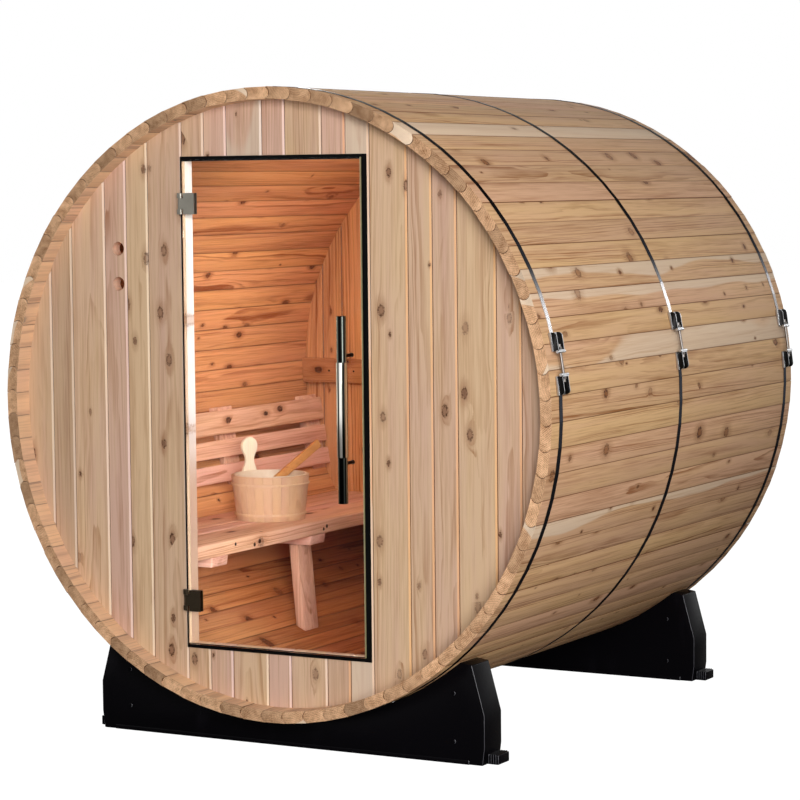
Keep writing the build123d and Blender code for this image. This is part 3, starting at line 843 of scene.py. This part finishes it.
# ------------------------
# The backrest: three leaning slats with rounded edges, screwed to
# wedge-shaped posts, all of the same cedar as the bench.
cedar_boards("backrest_slat_boards", "backrest_slats", Y, X, "otp", 660, 0.004)
cedar_boards("backrest_post_boards", "backrest_posts", Z, X, "ob", 680, 0.002, 1)

# ------------------------
# The hoops: flat dark steel bands round the staves, and on each a tightener:
# two bent brackets with a cross bar, their cheeks painted dark as shade and dark
# reflection, and a threaded rod with its nuts.
EAR_THICKNESS = 0.003
EAR_ROUNDING = 0.012
EAR_FOOT = 0.0075
EAR_REACH = 0.002
CROSS_BAR_RADIUS = 0.0042
CROSS_BAR_LENGTH = 0.046
CROSS_BAR_DEPTH = 0.0065
TIGHTENER_TURN = radians(9)


def make_metal(name, colour, roughness, wear, over=None, **plain):
    """Bare metal with a little uneven gloss."""
    finish, tree, shader = new_finish(name, Metallic=1.0, **plain)
    place = object_place(tree)
    fine = noise(place, 700.0)
    shade = about_zero(noise(place, 14.0, 3.0), wear * 2) + 0.5
    paint = mix(shade, colour, scaled(colour, 0.72))
    lay_on(shader, over(paint) if over else paint, fine * wear + roughness, fine, 0.00002)
    return finish


def hoop_shades(colour):
    """Painted light and shade: a glint just above the tighteners, less at the back, and darkest high up."""
    side, depth, height = split3(object_place(colour.tree))
    colour = mix(ramp(height, 1.30, 1.62), colour, "262424")
    glint = ramp(height, 1.08, 1.10) * fall(height, 1.24, 1.42) * ramp(side, 0.5, 0.8)
    return mix(glint, colour, mix(ramp(depth, -0.3, 0.6), "D4D2D2", "7E7C7C"))


edge_tint = (0.4, 0.4, 0.4, 1.0)
hoop_steel = make_metal("hoop_steel", "4A4C52", 0.22, 0.08, hoop_shades, Specular_Tint=edge_tint)
tightener_steel = make_metal("tightener_steel", "CFCFD1", 0.25, 0.08)
dark_steel = make_metal("dark_steel", "1E1D1D", 0.3, 0.1)
rod_steel = make_metal("rod_steel", "7A7470", 0.25, 0.1)
cover(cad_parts["hoops"], hoop_steel)
cover(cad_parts["tightener_rods"], rod_steel)

brackets = split_node("tightener_brackets")
cross_bars = []
for bracket in brackets:
    middle = (Vector(bracket.bound_box[0]) + Vector(bracket.bound_box[6])) / 2
    turn = atan2(middle.z - axis_height, middle.x)
    outward = Vector((cos(turn), 0, sin(turn)))
    away = Vector((-sin(turn), 0, cos(turn))) * (1 if turn > TIGHTENER_TURN else -1)
    points = bracket.data.vertices
    nearest, farthest = min(p.co.dot(away) for p in points), max(p.co.dot(away) for p in points)
    highest = max(p.co.dot(outward) for p in points if p.co.dot(away) > farthest - EAR_REACH)
    centre = outward * (highest - CROSS_BAR_DEPTH) + away * (nearest - CROSS_BAR_RADIUS / 2)
    centre.y = middle.y
    cross_bar = round_bar(centre, CROSS_BAR_RADIUS, CROSS_BAR_LENGTH, 20)
    cover(cross_bar, tightener_steel)
    cross_bars.append(cross_bar)

    def at_ear_corner(edge):
        a, b = (points[i].co for i in edge.vertices)
        far = min(a.dot(away), b.dot(away)) > farthest - EAR_REACH
        high = min(a.dot(outward), b.dot(outward)) > highest - EAR_REACH
        return far and high and abs(abs(a.y - b.y) - EAR_THICKNESS) < 0.0002

    # The two far corners of its ears are rounded off.
    with opened(bracket, "EDGE", at_ear_corner):
        bpy.ops.mesh.bevel(offset=EAR_ROUNDING, segments=6)
    ease_edges(bracket, 0.0005, 1)
    cover(bracket, tightener_steel, dark_steel)
    # The cheeks' flat sides take dark steel: painted shade and dark reflection.
    foot = min(p.co.dot(outward) for p in bracket.data.vertices) + EAR_FOOT
    paint_faces(bracket, lambda normal, centre: int(abs(normal.y) > 0.7 and centre.dot(outward) > foot))
parts = brackets + cross_bars
settle("tightener_brackets_bent", parts, "cabin", "tightener_steel", "tightener_brackets")

# ------------------------
# The doorway's seal: a flat black rubber strip, fixed to the wall all round
# the doorway.
seal = node_copy("door_seal")
ease_edges(seal, 0.0008)
cover(seal, make_moulded_plastic("black_rubber", "0A0A0A", 0.6))
settle("door_seal_strip", [seal], "cabin", "black_rubber", "door_seal")

# ------------------------
# The door: one sheet of clear glass without a frame, held only by its hinges.
# Its right edge is polished and shows greenish: the glass's own tint, with a painted highlight.


def lay_over(shader, share, other):
    """Puts another shader in a shader's place, by some share."""
    both = add_node("MixShader", {0: share, 1: Value(shader.outputs[0]), 2: other})
    feed(shader.id_data.nodes["Material Output"].inputs["Surface"], both)


# An IOR well under real glass keeps its reflections faint.
clear = dict(Transmission_Weight=1.0, Roughness=0.0, IOR=1.13, Base_Color=(0.97, 0.985, 0.975, 1.0))
glass, tree, shader = new_finish("clear_glass", **clear)
# The lamps shine straight through.
open_air = add_node("BsdfTransparent", {}, tree=tree)
lay_over(shader, add_node("LightPath", {}, "Is Shadow Ray", tree), open_air)
polished_edge, tree, shader = new_finish("polished_edge")
edge_marks = noise(object_place(tree), 60.0, 3.0)
lay_on(shader, mix(edge_marks, "A8A47C", "7E7A56"), 0.3, edge_marks, 0.0001)

pane = node_copy("door_glass")
ease_edges(pane, 0.0008, 1)
cover(pane, glass, polished_edge)
# Only the right edge takes the greenish finish: the glass's tint with a painted highlight.
paint_faces(pane, lambda normal, centre: int(normal.x > 0.5))
settle("door_glass_pane", [pane], "door", "clear_glass", "door_glass", angle=None)

# ------------------------
# The hinges: a leaf screwed to the wall and a clamp bolted through the glass,
# in dark plated metal. The upper one is painted paler and the lower one nearly
# black: painted reflections.
LOWER_HINGE_TOP = 0.8

hinge_metal, tree, shader = new_finish("hinge_metal", Metallic=0.8)
place = object_place(tree)
fine = noise(place, 700.0)
broad = noise(place, 30.0, 3.0)
upper = mix(broad, "908C82", "78746A")
lower = mix(broad, "44392A", "32291D")
# Painted reflections: paler on the upper hinge, nearly black on the lower.
is_lower = calc("LESS_THAN", split3(place)[2], LOWER_HINGE_TOP)
lay_on(shader, mix(is_lower, upper, lower), fine * 0.05 + 0.32, fine, 0.00002)
for node in ("hinge_wall_leaves", "hinge_glass_clamps"):
    cover(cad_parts[node], hinge_metal)

# ------------------------
# The handle: a long round bar in chrome with a grip sleeve, their light and dark
# bands painted reflections, darkest on the bar and brighter on the grip, held off
# the glass by two short posts with small caps behind it.
HANDLE_RADIUS = 0.0145
GRIP_RADIUS = 0.0165
GRIP_LENGTH = 0.269
POST_RADIUS = 0.005
POST_PAST_GRIP = 0.018
CAP_RADIUS = 0.0065
CAP_THICKNESS = 0.003
# The light and dark bands are kept in the chrome's colour, not reflected: the
# turn round the bar in degrees, and the colour.
BAR_BANDS = (
    (-38, "E6DFC8"), (-26, "6A6E62"), (-10, "4A4D44"), (-6, "0C0C0B"), (36, "0C0C0B"), (43, "5A5E58"),
    (52, "5A5E58"), (58, "141412"), (72, "1E1E1C"), (82, "9A9C94"), (110, "D8D4C4"),
)
GRIP_BANDS = (
    (-40, "EFE7D6"), (-24, "D8D0BE"), (-14, "1A1A17"), (-2, "10100F"), (3, "F4F1E8"), (26, "F8F6EF"),
    (31, "12120F"), (54, "12120F"), (62, "B79A80"), (82, "E8DCC8"), (110, "EFE7D6"),
)

low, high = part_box("door_handle")
bar_at = Vector(((low.x + high.x) / 2, low.y + GRIP_RADIUS, (low.z + high.z) / 2))


def make_chrome(name, bands):
    """Polished chrome with painted reflections: darker and lighter long bands round the bar."""
    finish, tree, shader = new_finish(name, Metallic=1.0)
    place = object_place(tree)
    x, y, _ = split3(place)
    turn = calc("ARCTAN2", x - bar_at.x, calc("SUBTRACT", bar_at.y, y)) / (2 * pi)
    wander = about_zero(noise(stretched(place, (0.0, 0.0, 9.0)), 1.0), 0.012)
    table = add_node("ValToRGB", {0: turn + (wander + 0.5)})
    stops = table.socket.node.color_ramp.elements
    stops.remove(stops[-1])
    stops[0].color = linear(bands[0][1])
    for degrees, colour in bands:
        stops.new(degrees / 360 + 0.5).color = linear(colour)
    fine = noise(place, 700.0)
    lay_on(shader, table, fine * 0.04 + 0.12, fine, 0.00001)
    return finish


bar = round_bar(bar_at, HANDLE_RADIUS, high.z - low.z, 48, "Z")
ease_edges(bar, 0.0016, 3)
cover(bar, make_chrome("bar_chrome", BAR_BANDS))
grip = round_bar(bar_at, GRIP_RADIUS, GRIP_LENGTH, 48, "Z")
ease_edges(grip, 0.001, 3)
cover(grip, make_chrome("grip_chrome", GRIP_BANDS))
parts = [bar, grip]
for side in (-1, 1):
    height = bar_at.z + side * (GRIP_LENGTH / 2 + POST_PAST_GRIP)
    post_at = (bar_at.x, (bar_at.y + high.y) / 2, height)
    post = round_bar(post_at, POST_RADIUS, high.y - bar_at.y, 24)
    cap_at = (bar_at.x, high.y - CAP_THICKNESS / 2, height)
    cap = round_bar(cap_at, CAP_RADIUS, CAP_THICKNESS, 24)
    ease_edges(cap, 0.0008)
    for part in (post, cap):
        cover(part, dark_steel)
        parts.append(part)
settle("door_handle_bar", parts, "door", "handle_metal", "door_handle")

# ------------------------
# The water bucket: tapered staves of pale wood in two thin bands, one long stave
# shaped as a grip, and a white plastic liner hung in it. It stands on the bench,
# and an orange-brown wooden ladle leans in it.
PAIL_STAVES = 26
PAIL_HEIGHT = 0.145
PAIL_TOP = 0.126
PAIL_BOTTOM = 0.110
PAIL_WALL = 0.011
PAIL_BASE = 0.012
PAIL_LEAN = (PAIL_TOP - PAIL_BOTTOM) / PAIL_HEIGHT
BAND_HEIGHTS = (0.117, 0.020)
BAND_WIDTH = 0.0075
BAND_STAND = 0.0045
LINER_WALL = 0.0022
LINER_SLACK = 0.0008
LINER_LIP = 0.003
KNOB_TURN = radians(156)
KNOB_THICKNESS = 0.012
# Height above the rim and half the width, up the long stave.
KNOB_OUTLINE = (
    (-0.012, 0.029), (0.002, 0.027), (0.014, 0.022), (0.026, 0.017), (0.036, 0.015), (0.046, 0.016),
    (0.056, 0.020), (0.068, 0.027), (0.078, 0.030), (0.088, 0.030), (0.098, 0.026), (0.106, 0.018),
    (0.111, 0.010), (0.113, 0.003),
)
# Rows that are already shaped stand this far off while the others are picked.
SET_ASIDE = 10.0

pail_wood = make_cedar("pail_wood", "D3AC90 B88D70 DCC4AE A87A50 8A6440", 0.6)
band_wood = make_cedar("band_wood", "D8B498 BE9474 DCC4AE A87A50 8A6440", 0.7)
grip_wood = make_cedar("grip_wood", "EADCCB D6BFA8 F2E8DA A87A50 8A6440", 0.7)
ladle_wood = make_cedar("ladle_wood", "CF935A 9C5F30 DDB07C 7A4A28 4A2A18", 1.2)
liner_plastic, tree, shader = new_finish("liner_plastic")
scuffs = noise(object_place(tree), 60.0, 4.0)
lay_on(shader, mix(scuffs, "E2CDB4", "CDB499"), scuffs * 0.2 + 0.3, scuffs, 0.0001)

low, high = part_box("water_bucket")


def pail_at(height):
    """The point on the bucket's middle line at a height above its foot."""
    return Vector((high.x - PAIL_TOP, low.y + PAIL_TOP, low.z + height))


half = PAIL_BOTTOM * tan(pi / PAIL_STAVES) - 0.0002
stave = block((PAIL_BOTTOM - PAIL_WALL, -half, 0), (PAIL_BOTTOM, half, PAIL_HEIGHT))
with opened(stave, "VERT", lambda point: point.co.x < PAIL_BOTTOM - PAIL_WALL / 2):
    bpy.ops.transform.resize(value=(1, 1 - PAIL_WALL / PAIL_BOTTOM, 1))
with opened(stave, "VERT", lambda point: point.co.z > PAIL_HEIGHT / 2):
    bpy.ops.transform.resize(value=(1, PAIL_TOP / PAIL_BOTTOM, 1))
    bpy.ops.transform.translate(value=(PAIL_TOP - PAIL_BOTTOM, 0, 0))
ease_edges(stave, 0.0008)
parts = []
for number in range(PAIL_STAVES):
    copy = copy_of(stave)
    turn = 2 * pi * (number + 0.5) / PAIL_STAVES
    copy.data.transform(moved(pail_at(0)) @ turned(turn, 4, "Z"))
    cut_from_log(copy, Z, (cos(turn), sin(turn), 0), "f", 700 + number)
    cover(copy, pail_wood)
    parts.append(copy)
bpy.data.objects.remove(stave)
for height in BAND_HEIGHTS:
    radius = PAIL_BOTTOM + PAIL_LEAN * height
    band = round_bar(pail_at(height), radius + BAND_STAND, BAND_WIDTH, 78, "Z")
    cut(band, round_bar(pail_at(height), radius - 0.002, 2 * BAND_WIDTH, 78, "Z"))
    ease_edges(band, 0.0008)
    cut_from_log(band, Z, (0, -1, 0), "f", 730)
    cover(band, band_wood)
    parts.append(band)
base = round_bar(pail_at(PAIL_BASE / 2 + 0.001), PAIL_BOTTOM - 0.006, PAIL_BASE, 52, "Z")
ease_edges(base, 0.001, 1)
cut_from_log(base, Y, Z, "f", 740)
cover(base, pail_wood)
parts.append(base)

# The liner, with a rolled lip a little above the staves.
inner_top = PAIL_TOP - PAIL_WALL
inner_bottom = PAIL_BOTTOM - PAIL_WALL + PAIL_LEAN * PAIL_BASE - LINER_SLACK
depth = PAIL_HEIGHT - PAIL_BASE - 0.0015
middle = PAIL_HEIGHT - depth / 2
liner = round_bar(pail_at(middle), inner_bottom, depth, 64, "Z", inner_top - LINER_SLACK)
lip_at = pail_at(PAIL_HEIGHT + 0.0012)
cut(liner, round_bar(lip_at, inner_top + LINER_LIP, LINER_LIP, 64, "Z"), "UNION")
scoop_at = pail_at(middle + LINER_WALL + 0.004)
scoop_foot, scoop_top = inner_bottom - LINER_WALL, inner_top - LINER_WALL
cut(liner, round_bar(scoop_at, scoop_foot, depth + 0.008, 64, "Z", scoop_top))
ease_edges(liner, 0.0006)
cover(liner, liner_plastic)
parts.append(liner)

# The grip: a flat stave drawn in to a neck and out to a rounded knob.
last_row = len(KNOB_OUTLINE) - 1
bpy.ops.mesh.primitive_grid_add(x_subdivisions=1, y_subdivisions=last_row, size=1)
grip = just_added()
for row, (height, half_width) in enumerate(KNOB_OUTLINE):
    level = row / last_row - 0.5
    with opened(grip, "VERT", lambda point: abs(point.co.y - level) < 0.001):
        bpy.ops.transform.resize(value=(2 * half_width, 1, 1))
        bpy.ops.transform.translate(value=(0, height + SET_ASIDE - level, 0))
grip.data.transform(moved((0, -SET_ASIDE, 0)))
apply_modifier(grip, "SOLIDIFY", thickness=KNOB_THICKNESS, offset=0.0)
ease_edges(grip, 0.003, 3, 40)
upright = Matrix(((0, 0, 1, 0), (1, 0, 0, 0), (0, 1, 0, 0), (0, 0, 0, 1)))
place = moved(pail_at(PAIL_HEIGHT)) @ turned(KNOB_TURN, 4, "Z")
grip.data.transform(place @ moved((PAIL_TOP - KNOB_THICKNESS / 2, 0, 0)) @ upright)
cut_from_log(grip, Z, (cos(KNOB_TURN), sin(KNOB_TURN), 0), "f", 742)
cover(grip, grip_wood)
parts.append(grip)
settle("water_bucket_wood", parts, "cabin", "bucket_wood", "water_bucket")

ladle = node_copy("ladle")
ease_edges(ladle, 0.002)
cut_from_log(ladle, X, Z, "f", 750)
cover(ladle, ladle_wood)
settle("ladle_wood", [ladle], "cabin", "ladle_wood", "ladle")

# ------------------------
# The ground and the light: a pale floor and a white sky, soft lamps in front,
# above and behind the barrel, and small warm ones inside the cabin.
GROUND_RADIUS = 40
GROUND_GLOW = 1.2
SKY_LEVEL = 0.10
WARM = (1.0, 0.89, 0.76)


def seen_directly(tree):
    """Whether the camera sees this, straight or through glass, and whether in metal."""
    ray = add_node("LightPath", {}, "Is Camera Ray", tree)
    undiffused = calc("LESS_THAN", ray.beside("Diffuse Depth"), 0.5)
    through = ray.beside("Is Transmission Ray") * undiffused
    return calc("MAXIMUM", ray, through), ray.beside("Is Glossy Ray") * undiffused


bpy.ops.mesh.primitive_circle_add(vertices=64, radius=GROUND_RADIUS, fill_type="NGON")
ground = just_added()
ground.name = "ground"
plain = dict(Base_Color=(0.28, 0.27, 0.26, 1), Roughness=0.9, Specular_IOR_Level=0.1)
ground_finish, tree, shader = new_finish("ground", **plain)
seen, mirrored = seen_directly(tree)
x, y, _ = split3(object_place(tree))
mirrored = mirrored * ramp(length_of(x, y), 4.0, 10.0)
glow = add_node("Emission", {"Strength": GROUND_GLOW}, tree=tree)
lay_over(shader, calc("MAXIMUM", seen, mirrored) * 0.88, glow)
cover(ground, ground_finish)

sky = bpy.data.worlds.new("sky")
bpy.context.scene.world = sky
sky.use_nodes = True
backdrop = sky.node_tree.nodes["Background"]
backdrop.inputs["Color"].default_value = (1, 1, 1, 1)
seen = calc("MAXIMUM", *seen_directly(sky.node_tree))
feed(backdrop.inputs["Strength"], seen * (1.0 - SKY_LEVEL) + SKY_LEVEL)


def soft_lamp(name, place, target, size, watts, colour=(1, 1, 1), spread=180, tall=None):
    """A soft lamp turned towards a point, square unless its height is given too."""
    bpy.ops.object.light_add(type="AREA", location=place)
    lamp = bpy.context.object
    lamp.name = name
    lamp.data.shape = "RECTANGLE" if tall else "SQUARE"
    lamp.data.size = size
    lamp.data.size_y = tall or size
    lamp.data.energy = watts
    lamp.data.color = colour
    lamp.data.spread = radians(spread)
    lamp.visible_camera = False
    lamp.rotation_euler = (Vector(target) - Vector(place)).to_track_quat("-Z", "Y").to_euler()
    return lamp


soft_lamp("front_lamp", (4.83, -8.37, 3.59), (0, 0, 1.0), 3.0, 310)
soft_lamp("low_lamp", (6.5, -6.9, 2.0), (0, 0, 1.0), 4.0, 410)
soft_lamp("roof_lamp", (2.5, 0.5, 7.5), (0, 0, 1.5), 3.0, 45)
soft_lamp("back_lamp", (-6.0, 7.0, 3.0), (0, 0, 1.0), 3.0, 380)
soft_lamp("side_lamp", (7.0, -1.3, 5.2), (0, 0, 1.0), 3.0, 45)
# This one only glints in the hoops.
hoop_lamp = soft_lamp("hoop_lamp", (2.9, 6.1, 2.5), (0.9, 0, 1.2), 0.7, 18)
hoop_lamp.visible_diffuse = False
soft_lamp("cabin_lamp", (0.30, 0.25, 1.58), (-0.5, 0.20, 1.29), 0.25, 2.7, WARM, 115)
soft_lamp("door_lamp", (-0.1, -0.55, 1.68), (-0.05, 0.8, 1.45), 0.3, 2.8, WARM, 115)
soft_lamp("doorway_lamp", (-0.08, -0.72, 1.0), (-0.77, 0.0, 0.92), 0.44, 0.45, spread=30, tall=1.3)
